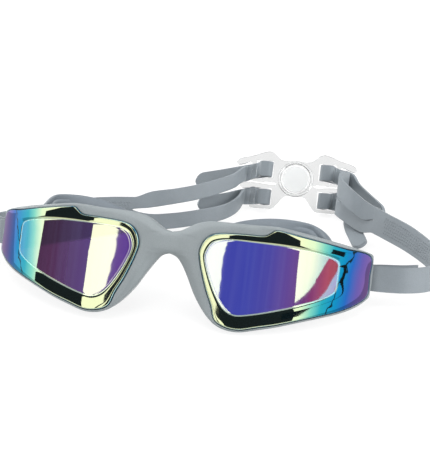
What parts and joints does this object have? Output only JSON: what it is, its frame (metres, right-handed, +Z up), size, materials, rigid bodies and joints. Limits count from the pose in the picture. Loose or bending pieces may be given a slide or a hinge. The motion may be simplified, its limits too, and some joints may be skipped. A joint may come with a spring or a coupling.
{
  "type": "swim goggles",
  "caption": "Wrapped mirror-lens swim goggles with a one-piece soft frame, eye seals and a Y-shaped strap on each side joined by a clear back clip.",
  "frame": {"origin": "middle of the base of the bounding box, on the surface the goggles lie on", "axes": "+X along the width of the front towards the wearer's left as worn, +Y from the lenses back to the clip, +Z up"},
  "size_m": [0.2076, 0.147, 0.0419],
  "materials": {
    "frame_silicone": "satin grey silicone",
    "mirror_lens": "clear polycarbonate with a rainbow mirror coat",
    "seat_black": "glossy black",
    "seal_silicone": "satin grey silicone",
    "bracket_grey": "satin grey",
    "pin_grey": "satin grey",
    "strap_silicone": "satin grey silicone",
    "clip_clear": "clear moulded plastic",
    "clip_disc_clear": "clear, slightly milky"
  },
  "bodies": {
    "front": {"face_frame": "frame_silicone", "lens_left": "mirror_lens", "lens_seat_left": "seat_black", "eye_seal_left": "seal_silicone", "temple_bracket_left": "bracket_grey", "strap_pin_left": "pin_grey", "lens_right": "mirror_lens", "lens_seat_right": "seat_black", "eye_seal_right": "seal_silicone", "temple_bracket_right": "bracket_grey", "strap_pin_right": "pin_grey"},
    "strap_left": {"strap_left": "strap_silicone"},
    "strap_right": {"strap_right": "strap_silicone"},
    "clip": {"clip_body": "clip_clear", "clip_disc": "clip_disc_clear"}
  },
  "joints": [
    {"name": "left_strap_swing", "type": "hinge", "parent": "front", "child": "strap_left", "pos_m": [-0.08171, -0.0353, 0.01586], "axis": [0, 0.4672, 0.8842], "range_deg": [-1.2, 1.2]},
    {"name": "clip_turn", "type": "hinge", "parent": "strap_left", "child": "clip", "pos_m": [0.0097, 0.06035, 0.0165], "axis": [-0.0416, 0.4622, 0.8858], "range_deg": [-5.88, 5.88]},
    {"name": "right_strap_swing", "type": "hinge", "parent": "front", "child": "strap_right", "pos_m": [0.072, -0.02698, 0.01147], "axis": [0, 0.4672, 0.8842], "range_deg": [-1.08, 1.08]}
  ],
  "couplings": [
    {"joint": "clip_turn", "follows": "left_strap_swing", "ratio": -4.878},
    {"joint": "right_strap_swing", "follows": "left_strap_swing", "ratio": 0.886}
  ]
}
